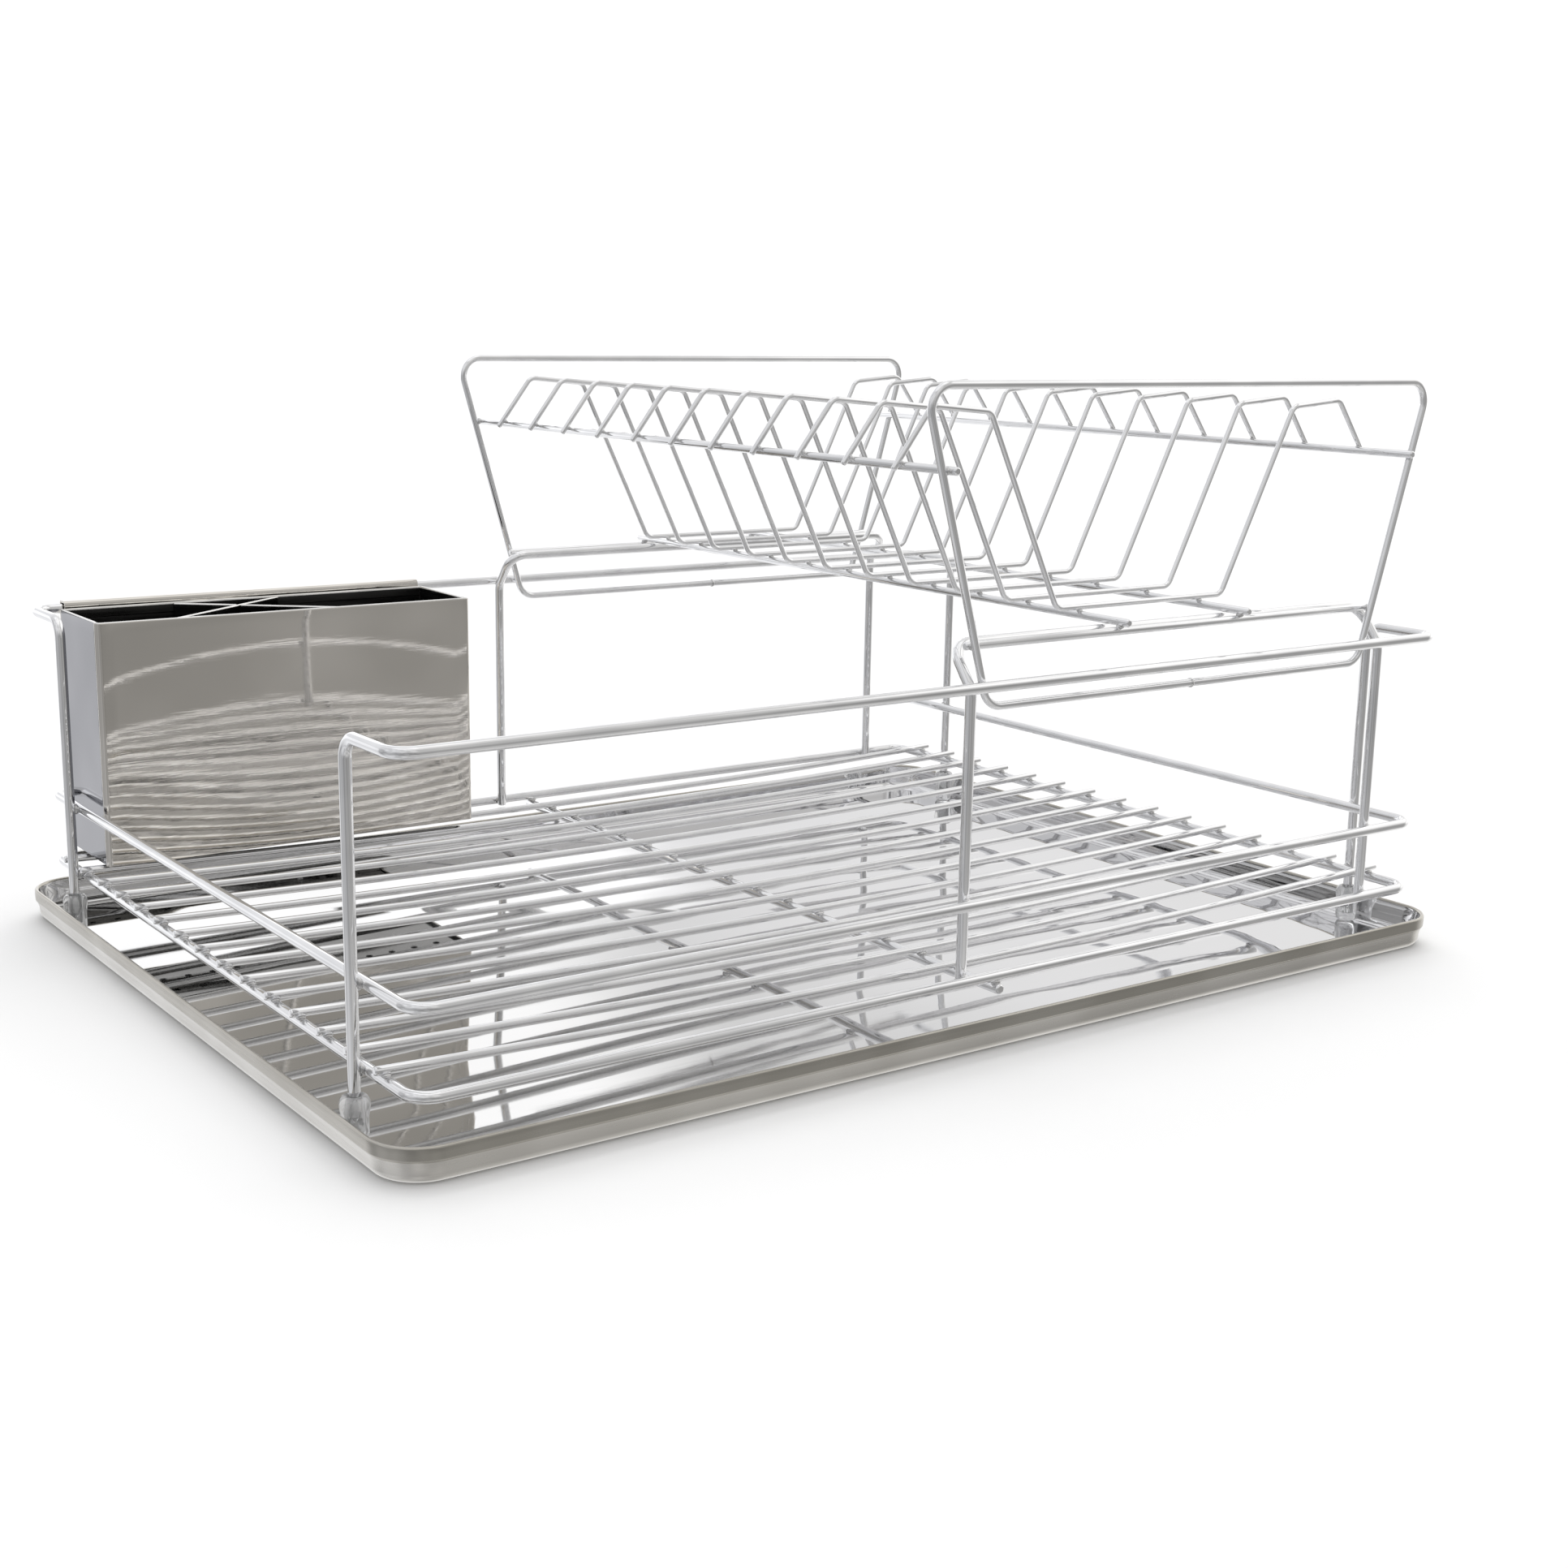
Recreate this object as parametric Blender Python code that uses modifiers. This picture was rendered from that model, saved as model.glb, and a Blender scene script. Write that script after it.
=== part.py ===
"""Steel dish drying rack: drip tray, wire basket, lift-off plate rack and cutlery box.

Metres, +Z up.  The origin is on the surface under the middle of the tray, +X runs along
the long front side towards the plate rack, and +Y runs from the front to the back.
"""
import math

import bmesh
import bpy
from mathutils import Vector

# Clearance kept between pieces that touch or are welded on the real rack.
GAP = 0.0003

# Wire and sheet sizes.
HEAVY_WIRE = 0.0040
LIGHT_WIRE = 0.0030
COMB_WIRE = 0.0022
SHEET = 0.0008
HEAVY_R = HEAVY_WIRE / 2
LIGHT_R = LIGHT_WIRE / 2
COMB_R = COMB_WIRE / 2

# Drip tray: a shallow pressed pan with a rim folded outwards and down.
TRAY_HALF_X = 0.2364
TRAY_HALF_Y = 0.1776
TRAY_HEIGHT = 0.0125
TRAY_FLARE = 0.0022
TRAY_CORNER = 0.018
TRAY_FOOT_FILLET = 0.0018
HEM_FOLD = 0.00085
HEM_DROP = 0.0024

# Basket: two closed loops, four posts and the floor wires.
LOOP_HALF_X = 0.2240
LOOP_HALF_Y = 0.1680
LOOP_CORNER = 0.008
LOW_LOOP_Z = 0.0238
MID_LOOP_Z = 0.0512
TOP_RAIL_Z = 0.1277
TOP_RAIL_Y = 0.1685
POST_X = LOOP_HALF_X + HEAVY_WIRE + GAP
POST_Y = 0.1346
POST_FOOT_Z = 0.0044
POST_BEND = 0.007
CROSS_WIRE_Z = LOW_LOOP_Z - HEAVY_WIRE - GAP
CROSS_WIRE_HALF = 0.1710
FLOOR_WIRES = 15
FLOOR_PITCH = 0.02114
FLOOR_HALF_X = 0.2278
FLOOR_END_Z = LOW_LOOP_Z + HEAVY_R + LIGHT_R + GAP
FLOOR_MID_Z = CROSS_WIRE_Z + HEAVY_R + LIGHT_R + GAP

# Foot caps.
CAP_R = 0.0041
CAP_HEIGHT = 0.0150
CAP_ROUND = 0.0022
CAP_LIFT = SHEET + GAP
CAP_BORE_R = HEAVY_R + GAP

# Arches that carry the plate rack.
ARCHES = (("front_arch", -1, (-0.0125, 0.1990)), ("rear_arch", 1, (-0.0183, 0.1980)))
ARCH_LEG_Y = LOOP_HALF_Y - HEAVY_WIRE - GAP
ARCH_FOOT_Z = 0.0220
ARCH_SHOULDER_Z = 0.1265
ARCH_BAR_Y = 0.1525
ARCH_BAR_Z = 0.1407
ARCH_BEND = 0.008

# Plate rack.
RACK_X = 0.0900
RACK_LOOP_Y = 0.1645
RACK_TOP_HALF = 0.1270
RACK_TOP_Z = 0.2286
RACK_LOW_HALF = 0.0958
RACK_LOW_Z = 0.1200
RACK_BEND = 0.0080
CROSSBAR_Y = RACK_LOOP_Y - LIGHT_WIRE - GAP
CROSSBAR_Z = 0.1412
CROSSBAR_HALF = 0.1040
LOW_RAIL_X = 0.0311
LOW_RAIL_Z = 0.1445
LOW_RAIL_HALF = 0.1660
SIDE_RAIL_X = 0.1155
SIDE_RAIL_Z = 0.2008
SIDE_RAIL_HALF = 0.1685
COMBS = 11
COMB_PITCH = 0.0280
COMB_FOOT = (0.1201, 0.1996)
COMB_OUTER_TOP = (0.1040, 0.2207)
COMB_INNER_TOP = (0.0775, 0.2184)
COMB_VALLEY = (0.0427, 0.1474)
COMB_BEND = 0.0045

# Cutlery box.
BOX_LEFT = -0.2185
BOX_RIGHT = -0.0570
BOX_FRONT = 0.1185
BOX_BACK = 0.1656
BOX_FOOT_Z = 0.0294
BOX_TOP_Z = 0.1280
BOX_CORNER = 0.0015
HOOK_LEFT = -0.2166
HOOK_RIGHT = -0.0589
HOOK_TOP_Z = TOP_RAIL_Z + HEAVY_R + GAP
HOOK_BACK_Y = TOP_RAIL_Y + HEAVY_R + GAP
HOOK_LIP_Z = 0.1195
BOX_FLOOR_LIFT = 0.0012
DRAIN_ROWS = 2
DRAINS_PER_ROW = 14
DRAIN_PITCH = 0.0108
DRAIN_ROW_PITCH = 0.0170
DRAIN_R = 0.0016
DIVIDER_TOP_Z = 0.1276
DIVIDER_ENDS = (((-0.1904, BOX_FRONT), (-0.1235, BOX_BACK)),
                ((-0.1734, BOX_BACK), (-0.1123, BOX_FRONT)))
DIVIDER_SLOT = 0.0018

COLLECTION = "dish_drying_rack"


def clear_scene():
    for old in list(bpy.data.objects):
        bpy.data.objects.remove(old, do_unlink=True)


def new_collection(name):
    group = bpy.data.collections.new(name)
    bpy.context.scene.collection.children.link(group)
    return group


def material(name, colour, roughness, metallic):
    shade = bpy.data.materials.new(name)
    shade.use_nodes = True
    shader = shade.node_tree.nodes["Principled BSDF"]
    shader.inputs["Base Color"].default_value = (*colour, 1.0)
    shader.inputs["Roughness"].default_value = roughness
    shader.inputs["Metallic"].default_value = metallic
    return shade


def add_object(name, data, shade, group, parent=None):
    piece = bpy.data.objects.new(name, data)
    data.materials.append(shade)
    group.objects.link(piece)
    if parent is not None:
        piece.parent = parent
    return piece


def add_empty(name, location, group, parent=None):
    """An empty on a lift-off body's own joint axis; its children hang on it."""
    empty = bpy.data.objects.new(name, None)
    empty.location = location
    group.objects.link(empty)
    if parent is not None:
        empty.parent = parent
    return empty


def bend_points(corners, radius, closed=False, steps=4):
    """Round each corner of a wire's route with an arc of the given radius."""
    corners = [Vector(corner) for corner in corners]
    count = len(corners)
    route = []
    for index, corner in enumerate(corners):
        if not closed and index in (0, count - 1):
            route.append(corner)
            continue
        to_last = (corners[index - 1] - corner).normalized()
        to_next = (corners[(index + 1) % count] - corner).normalized()
        half = to_last.angle(to_next) / 2
        centre = corner + (to_last + to_next).normalized() * (radius / math.sin(half))
        start = (corner + to_last * (radius / math.tan(half)) - centre).normalized()
        end = (corner + to_next * (radius / math.tan(half)) - centre).normalized()
        for step in range(steps + 1):
            route.append(centre + start.slerp(end, step / steps) * radius)
    return route


def add_wire(name, points, diameter, shade, group, parent=None, closed=False):
    """A round wire along a route given in the parent's own frame."""
    curve = bpy.data.curves.new(name, "CURVE")
    curve.dimensions = "3D"
    curve.bevel_depth = diameter / 2
    curve.bevel_resolution = 2
    curve.use_fill_caps = not closed
    spline = curve.splines.new("POLY")
    spline.points.add(len(points) - 1)
    for point, place in zip(spline.points, points):
        point.co = (*place, 1.0)
    spline.use_cyclic_u = closed
    return add_object(name, curve, shade, group, parent)


def corner_ring(half_x, half_y, radius, steps):
    """A rounded rectangle as (position, outward direction) pairs."""
    ring = []
    for quarter, (sign_x, sign_y) in enumerate(((1, 1), (-1, 1), (-1, -1), (1, -1))):
        centre = Vector((sign_x * (half_x - radius), sign_y * (half_y - radius), 0))
        for step in range(steps + 1):
            angle = (quarter + step / steps) * math.pi / 2
            out = Vector((math.cos(angle), math.sin(angle), 0))
            ring.append((centre + out * radius, out))
    return ring


def loft_rings(mesh, ring, profile):
    """Sweep an (offset, height) profile round a ring; returns the rows of vertices."""
    rows = []
    for offset, height in profile:
        rows.append([mesh.verts.new(place + out * offset + Vector((0, 0, height)))
                     for place, out in ring])
    for lower, upper in zip(rows, rows[1:]):
        for index in range(len(ring)):
            after = (index + 1) % len(ring)
            mesh.faces.new((lower[index], lower[after], upper[after], upper[index]))
    return rows


def add_sheet(name, mesh, guide, outward, shade, group, parent=None):
    """Close an open surface into sheet metal, thickened behind the side that faces outward."""
    bmesh.ops.recalc_face_normals(mesh, faces=mesh.faces)
    guide.normal_update()
    if guide.normal.dot(outward) < 0:
        bmesh.ops.reverse_faces(mesh, faces=mesh.faces)
    data = bpy.data.meshes.new(name)
    mesh.to_mesh(data)
    mesh.free()
    data.shade_smooth()
    data.set_sharp_from_angle(angle=math.radians(35))
    piece = add_object(name, data, shade, group, parent)
    shell = piece.modifiers.new("thickness", "SOLIDIFY")
    shell.thickness = SHEET
    shell.offset = -1.0
    shell.use_even_offset = True
    return piece


def tray_profile():
    """Offsets and heights of the tray's upper face, from its floor to its folded rim."""
    floor = SHEET
    wall_foot = -TRAY_FLARE - HEM_FOLD * 2
    wall_top = -HEM_FOLD * 2
    fillet = TRAY_FOOT_FILLET
    profile = []
    for step in range(4):
        angle = step / 3 * math.radians(75)
        profile.append((wall_foot - fillet + fillet * math.sin(angle),
                        floor + fillet - fillet * math.cos(angle)))
    fold_z = TRAY_HEIGHT - HEM_FOLD
    for step in range(5):
        angle = math.pi - step / 4 * math.pi
        profile.append((wall_top + HEM_FOLD + HEM_FOLD * math.cos(angle),
                        fold_z + HEM_FOLD * math.sin(angle)))
    profile.append((0.0, fold_z - HEM_DROP))
    return profile


def build_tray(steel, group):
    """The drip tray: the upper face is drawn and the thickness grows downwards."""
    mesh = bmesh.new()
    ring = corner_ring(TRAY_HALF_X, TRAY_HALF_Y, TRAY_CORNER, 5)
    rows = loft_rings(mesh, ring, tray_profile())
    floor = mesh.faces.new(rows[0])
    return add_sheet("drip_tray", mesh, floor, Vector((0, 0, 1)), steel, group)


def cap_profile():
    """Radius and height of a foot cap, from its blind bore over its lip to its foot."""
    top = CAP_HEIGHT
    bore_z = POST_FOOT_Z - GAP - CAP_LIFT
    wall = CAP_R - CAP_BORE_R
    profile = [(0.0, bore_z), (CAP_BORE_R, bore_z), (CAP_BORE_R, top - wall / 2)]
    for step in range(1, 4):
        angle = math.pi - step / 4 * math.pi
        profile.append((CAP_BORE_R + wall / 2 + wall / 2 * math.cos(angle),
                        top - wall / 2 + wall / 2 * math.sin(angle)))
    profile.append((CAP_R, top - wall / 2))
    for step in range(4):
        angle = step / 3 * math.pi / 2
        profile.append((CAP_R - CAP_ROUND + CAP_ROUND * math.cos(angle),
                        CAP_ROUND - CAP_ROUND * math.sin(angle)))
    profile.append((0.0, 0.0))
    return profile


def build_caps(clear, group, parent):
    profile = cap_profile()
    data = bpy.data.meshes.new("foot_cap")
    edges = [(index, index + 1) for index in range(len(profile) - 1)]
    data.from_pydata([(radius, 0.0, height) for radius, height in profile], edges, [])
    data.materials.append(clear)
    for end, sign_y in (("front", -1), ("rear", 1)):
        for side, sign_x in (("left", -1), ("right", 1)):
            cap = bpy.data.objects.new(f"foot_cap_{end}_{side}", data)
            cap.location = (sign_x * POST_X, sign_y * POST_Y, CAP_LIFT)
            cap.parent = parent
            group.objects.link(cap)
            turn = cap.modifiers.new("turn", "SCREW")
            turn.steps = 16
            turn.render_steps = 16
            turn.use_merge_vertices = True
            turn.merge_threshold = 0.00001
            turn.use_smooth_shade = True


def rectangle_corners(half_x, half_y, height):
    return [(half_x, half_y, height), (-half_x, half_y, height),
            (-half_x, -half_y, height), (half_x, -half_y, height)]


def build_loops(chrome, group, parent):
    for name, height in (("lower_loop", LOW_LOOP_Z), ("middle_loop", MID_LOOP_Z)):
        corners = rectangle_corners(LOOP_HALF_X, LOOP_HALF_Y, height)
        route = bend_points(corners, LOOP_CORNER, closed=True)
        add_wire(name, route, HEAVY_WIRE, chrome, group, parent, closed=True)


def build_post_wires(chrome, group, parent):
    """Each end's two posts and its top rail are one bent wire."""
    for name, sign in (("front_top_rail", -1), ("rear_top_rail", 1)):
        corners = []
        for side in (-1, 1):
            leg = [(side * POST_X, sign * POST_Y, POST_FOOT_Z),
                   (side * POST_X, sign * POST_Y, TOP_RAIL_Z),
                   (side * POST_X, sign * TOP_RAIL_Y, TOP_RAIL_Z)]
            corners.extend(leg if side < 0 else reversed(leg))
        add_wire(name, bend_points(corners, POST_BEND), HEAVY_WIRE, chrome, group, parent)


def build_arches(chrome, group, parent):
    """Front and rear arches, whose shoulders lean inwards to the bar under the plate rack."""
    for name, sign, legs_x in ARCHES:
        corners = []
        for side_x in legs_x:
            leg = [(side_x, sign * ARCH_LEG_Y, ARCH_FOOT_Z),
                   (side_x, sign * ARCH_LEG_Y, ARCH_SHOULDER_Z),
                   (side_x, sign * ARCH_BAR_Y, ARCH_BAR_Z)]
            corners.extend(leg if side_x < 0 else reversed(leg))
        add_wire(name, bend_points(corners, ARCH_BEND), HEAVY_WIRE, chrome, group, parent)


def floor_height(x):
    """Floor wires are pulled down to the cross wire that runs under both long rails."""
    share = (x / FLOOR_HALF_X) ** 2
    return FLOOR_MID_Z + (FLOOR_END_Z - FLOOR_MID_Z) * share


def build_floor(chrome, group, parent):
    add_wire("cross_wire", [(0, -CROSS_WIRE_HALF, CROSS_WIRE_Z), (0, CROSS_WIRE_HALF, CROSS_WIRE_Z)],
             HEAVY_WIRE, chrome, group, parent)
    spans = 8
    for index in range(FLOOR_WIRES):
        y = (index - (FLOOR_WIRES - 1) / 2) * FLOOR_PITCH
        route = []
        for step in range(spans + 1):
            x = FLOOR_HALF_X * (2 * step / spans - 1)
            route.append((x, y, floor_height(x)))
        add_wire(f"floor_wire_{index + 1:02d}", route, LIGHT_WIRE, chrome, group, parent)


def build_rack_frame(chrome, group, parent):
    """End loops, crossbars and the four rails of the plate rack, about its own centre."""
    for end, sign in (("front", -1), ("rear", 1)):
        y = sign * RACK_LOOP_Y
        route = bend_points([(-RACK_LOW_HALF, y, RACK_LOW_Z), (-RACK_TOP_HALF, y, RACK_TOP_Z),
                             (RACK_TOP_HALF, y, RACK_TOP_Z), (RACK_LOW_HALF, y, RACK_LOW_Z)],
                            RACK_BEND, closed=True)
        add_wire(f"rack_loop_{end}", route, LIGHT_WIRE, chrome, group, parent, closed=True)
        bar_y = sign * CROSSBAR_Y
        add_wire(f"rack_crossbar_{end}",
                 [(-CROSSBAR_HALF, bar_y, CROSSBAR_Z), (CROSSBAR_HALF, bar_y, CROSSBAR_Z)],
                 LIGHT_WIRE, chrome, group, parent)
    for side, sign in (("left", -1), ("right", 1)):
        for name, x, z, half in (("low_rail", LOW_RAIL_X, LOW_RAIL_Z, LOW_RAIL_HALF),
                                 ("side_rail", SIDE_RAIL_X, SIDE_RAIL_Z, SIDE_RAIL_HALF)):
            add_wire(f"rack_{name}_{side}", [(sign * x, -half, z), (sign * x, half, z)],
                     LIGHT_WIRE, chrome, group, parent)


def build_combs(chrome, group, parent):
    """The plate dividers: a wire that stands in two humps on either side of a valley."""
    half = [COMB_FOOT, COMB_OUTER_TOP, COMB_INNER_TOP, COMB_VALLEY]
    for index in range(COMBS):
        y = (index - (COMBS - 1) / 2) * COMB_PITCH
        corners = [(-x, y, z) for x, z in half]
        corners += [(x, y, z) for x, z in reversed(half)]
        route = bend_points(corners, COMB_BEND, steps=3)
        add_wire(f"plate_divider_{index + 1:02d}", route, COMB_WIRE, chrome, group, parent)


def build_box_body(steel, group, parent):
    """Four walls of one bent sheet, whose back runs on over the rear rail as a hook."""
    centre = Vector(((BOX_LEFT + BOX_RIGHT) / 2, (BOX_FRONT + BOX_BACK) / 2, 0))
    ring = corner_ring((BOX_RIGHT - BOX_LEFT) / 2, (BOX_BACK - BOX_FRONT) / 2, BOX_CORNER, 3)
    mesh = bmesh.new()
    loft_rings(mesh, ring, [(0.0, BOX_FOOT_Z), (0.0, BOX_TOP_Z)])
    for vertex in mesh.verts:
        vertex.co += centre
    for x in (HOOK_LEFT, HOOK_RIGHT):
        bmesh.ops.bisect_plane(mesh, geom=list(mesh.verts) + list(mesh.edges) + list(mesh.faces),
                               plane_co=(x, 0, 0), plane_no=(1, 0, 0), dist=0.00001)
    back = [edge for edge in mesh.edges if is_hook_root(edge)]
    mesh.faces.ensure_lookup_table()
    front = min(mesh.faces, key=lambda face: face.calc_center_median().y)
    rise = HOOK_TOP_Z - BOX_TOP_Z
    hook = [(0.0, rise - 0.0008), (0.0008, 0.0008), (HOOK_BACK_Y - BOX_BACK - 0.0016, 0.0),
            (0.0008, -0.0008), (0.0, HOOK_LIP_Z - HOOK_TOP_Z + 0.0008)]
    for out, up in hook:
        grown = bmesh.ops.extrude_edge_only(mesh, edges=back)["geom"]
        verts = [item for item in grown if isinstance(item, bmesh.types.BMVert)]
        back = [item for item in grown if isinstance(item, bmesh.types.BMEdge)]
        bmesh.ops.translate(mesh, verts=verts, vec=(0, out, up))
    return add_sheet("cutlery_box_body", mesh, front, Vector((0, -1, 0)), steel, group, parent)


def is_hook_root(edge):
    """True for the stretch of the back wall's top edge that the hook grows from."""
    for vertex in edge.verts:
        if abs(vertex.co.y - BOX_BACK) > GAP or abs(vertex.co.z - BOX_TOP_Z) > GAP:
            return False
    middle = (edge.verts[0].co.x + edge.verts[1].co.x) / 2
    return HOOK_LEFT < middle < HOOK_RIGHT


def build_box_floor(steel, group, cutters, parent):
    """The box's floor plate with its rows of drain holes."""
    inset = SHEET + GAP
    centre = Vector(((BOX_LEFT + BOX_RIGHT) / 2, (BOX_FRONT + BOX_BACK) / 2, 0))
    size = Vector((BOX_RIGHT - BOX_LEFT - 2 * inset, BOX_BACK - BOX_FRONT - 2 * inset, SHEET))
    centre.z = BOX_FOOT_Z + BOX_FLOOR_LIFT + SHEET / 2
    plate = bmesh.new()
    bmesh.ops.create_cube(plate, size=1.0)
    bmesh.ops.scale(plate, verts=plate.verts, vec=size)
    bmesh.ops.translate(plate, verts=plate.verts, vec=centre)
    data = bpy.data.meshes.new("cutlery_box_floor")
    plate.to_mesh(data)
    plate.free()
    floor = add_object("cutlery_box_floor", data, steel, group, parent)
    drills = bmesh.new()
    for row in range(DRAIN_ROWS):
        for column in range(DRAINS_PER_ROW):
            x = centre.x + (column - (DRAINS_PER_ROW - 1) / 2) * DRAIN_PITCH
            y = centre.y + (row - (DRAIN_ROWS - 1) / 2) * DRAIN_ROW_PITCH
            grown = bmesh.ops.create_cone(drills, cap_ends=True, segments=8, radius1=DRAIN_R,
                                          radius2=DRAIN_R, depth=SHEET * 4)
            bmesh.ops.translate(drills, verts=grown["verts"], vec=(x, y, centre.z))
    drill_data = bpy.data.meshes.new("drain_drills")
    drills.to_mesh(drill_data)
    drills.free()
    drill = bpy.data.objects.new("drain_drills", drill_data)
    drill.hide_render = True
    drill.display_type = "WIRE"
    drill.parent = parent
    cutters.objects.link(drill)
    cut = floor.modifiers.new("drains", "BOOLEAN")
    cut.object = drill
    cut.operation = "DIFFERENCE"
    cut.solver = "EXACT"
    return floor


def divider_crossing():
    """Where the two dividers cross, seen from above."""
    (start_a, end_a), (start_b, end_b) = DIVIDER_ENDS
    slope_a = (end_a[1] - start_a[1]) / (end_a[0] - start_a[0])
    slope_b = (end_b[1] - start_b[1]) / (end_b[0] - start_b[0])
    x = (start_b[1] - start_a[1] + slope_a * start_a[0] - slope_b * start_b[0]) / (slope_a - slope_b)
    return Vector((x, start_a[1] + slope_a * (x - start_a[0]), 0))


def build_dividers(steel, group, parent):
    """Two strips that stand on the box's floor and slot into each other where they cross."""
    foot = BOX_FOOT_Z + BOX_FLOOR_LIFT + SHEET + GAP
    height = DIVIDER_TOP_Z - foot
    crossing = divider_crossing()
    slot = DIVIDER_SLOT / 2
    for name, ends, slot_up in zip(("cutlery_divider_a", "cutlery_divider_b"), DIVIDER_ENDS,
                                   (False, True)):
        start, end = (Vector((*point, 0)) for point in ends)
        along = (end - start).normalized()
        trim = (SHEET + 2 * GAP + SHEET / 2) / abs(along.y)
        left, right = trim, (end - start).length - trim
        middle = (crossing - start).dot(along)
        half = height / 2
        if slot_up:
            outline = [(left, 0), (right, 0), (right, height), (middle + slot, height),
                       (middle + slot, half - GAP), (middle - slot, half - GAP),
                       (middle - slot, height), (left, height)]
        else:
            outline = [(left, 0), (middle - slot, 0), (middle - slot, half + GAP),
                       (middle + slot, half + GAP), (middle + slot, 0), (right, 0),
                       (right, height), (left, height)]
        curve = bpy.data.curves.new(name, "CURVE")
        curve.dimensions = "2D"
        curve.fill_mode = "BOTH"
        curve.extrude = SHEET / 2
        spline = curve.splines.new("POLY")
        spline.points.add(len(outline) - 1)
        for point, (x, y) in zip(spline.points, outline):
            point.co = (x, y, 0, 1)
        spline.use_cyclic_u = True
        strip = add_object(name, curve, steel, group, parent)
        strip.location = start + Vector((0, 0, foot))
        strip.rotation_euler = (math.pi / 2, 0, math.atan2(along.y, along.x))


def main():
    clear_scene()
    group = new_collection(COLLECTION)
    cutters = new_collection(COLLECTION + "_cutters")
    tray_steel = material("tray_steel", (0.56, 0.55, 0.53), 0.18, 1.0)
    chrome = material("chromed_wire", (0.80, 0.80, 0.82), 0.12, 1.0)
    box_steel = material("box_steel", (0.50, 0.48, 0.46), 0.28, 1.0)
    clear = material("clear_plastic", (0.86, 0.87, 0.86), 0.25, 0.0)

    build_tray(tray_steel, group)
    basket = add_empty("basket_lift", (0, 0, 0), group)
    build_caps(clear, group, basket)
    build_loops(chrome, group, basket)
    build_post_wires(chrome, group, basket)
    build_arches(chrome, group, basket)
    build_floor(chrome, group, basket)
    rack = add_empty("plate_rack_lift", (RACK_X, 0, 0), group, basket)
    build_rack_frame(chrome, group, rack)
    build_combs(chrome, group, rack)
    box = add_empty("cutlery_box_lift", (0, 0, 0), group, basket)
    build_box_body(box_steel, group, box)
    build_box_floor(box_steel, group, cutters, box)
    build_dividers(box_steel, group, box)


main()
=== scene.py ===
# The looks of the dish drying rack: fine plated wires with their welds, a pressed tray,
# a sheet steel cutlery box, clear foot caps, and a pale studio.  Metres, +Z up.

import math

import bmesh
import bpy
from mathutils import Matrix, Vector
from mathutils.geometry import intersect_line_line_2d


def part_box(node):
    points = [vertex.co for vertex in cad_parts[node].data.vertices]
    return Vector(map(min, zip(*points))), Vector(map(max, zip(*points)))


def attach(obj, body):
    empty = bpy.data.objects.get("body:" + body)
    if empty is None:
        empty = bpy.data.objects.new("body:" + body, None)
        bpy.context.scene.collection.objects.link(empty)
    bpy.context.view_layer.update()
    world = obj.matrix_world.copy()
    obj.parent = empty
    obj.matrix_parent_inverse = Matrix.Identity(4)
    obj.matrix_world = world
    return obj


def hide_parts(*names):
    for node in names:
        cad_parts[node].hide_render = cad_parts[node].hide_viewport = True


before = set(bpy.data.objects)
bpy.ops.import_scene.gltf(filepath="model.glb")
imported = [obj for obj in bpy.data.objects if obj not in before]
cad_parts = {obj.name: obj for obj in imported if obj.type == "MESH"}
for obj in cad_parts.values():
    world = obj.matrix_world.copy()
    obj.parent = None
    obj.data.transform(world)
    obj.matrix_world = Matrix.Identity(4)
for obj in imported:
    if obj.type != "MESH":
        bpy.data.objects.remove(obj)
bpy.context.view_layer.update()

HEAVY_R = 0.0020
LIGHT_R = 0.0015
COMB_R = 0.0011
SHEET = 0.0008

# Bends and heights that the boxes of the CAD nodes don't give.
TRAY_CORNER = 0.018
LOOP_CORNER = 0.008
POST_BEND = 0.007
ARCH_BEND = 0.008
ARCH_SHOULDER_Z = 0.1265
ARCH_LEG_Y = 0.1637
BOX_TOP_Z = 0.1280
HOOK_LIP_Z = 0.1195
HOOK_ROOT_Z = 0.1262
HOOK_INSET = 0.0019
RACK_BEND = 0.008
COMB_BEND = 0.0045
# Half width and height of each bend of a plate divider, from its foot over the hump inwards.
COMB_CORNERS = ((0.1201, 0.1996), (0.1040, 0.2207), (0.0775, 0.2184), (0.0427, 0.1474))
# Half widths of the rack's end loops along their low and top bars, and those bars' heights.
RACK_LOW_HALF = 0.0958
RACK_TOP_HALF = 0.1270
RACK_LOW_Z = 0.1200
RACK_TOP_Z = 0.2286


def middle(node):
    low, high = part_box(node)
    return (low + high) / 2


# ---------------------------------------------------------------- materials

# Noise that is stretched along no axis.
EVEN = (1, 1, 1)
# How much of a graded metal's colour comes from its place across the piece, a painted shade that
# darkens the low X side.
PAINTED_SHADE_SHARE = 0.88


def add_node(tree, kind, **settings):
    node = tree.nodes.new(kind)
    for key, value in settings.items():
        setattr(node, key, value)
    return node


def stretched_noise(tree, scale, stretch, detail=3.0, roughness=0.55):
    """Noise in the piece's own coordinates, stretched along one or two axes."""
    coords = add_node(tree, "ShaderNodeTexCoord")
    mapping = add_node(tree, "ShaderNodeMapping")
    mapping.inputs["Scale"].default_value = stretch
    noise = add_node(tree, "ShaderNodeTexNoise")
    noise.inputs["Scale"].default_value = scale
    noise.inputs["Detail"].default_value = detail
    noise.inputs["Roughness"].default_value = roughness
    tree.links.new(coords.outputs["Object"], mapping.inputs["Vector"])
    tree.links.new(mapping.outputs["Vector"], noise.inputs["Vector"])
    return noise.outputs["Fac"]


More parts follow.
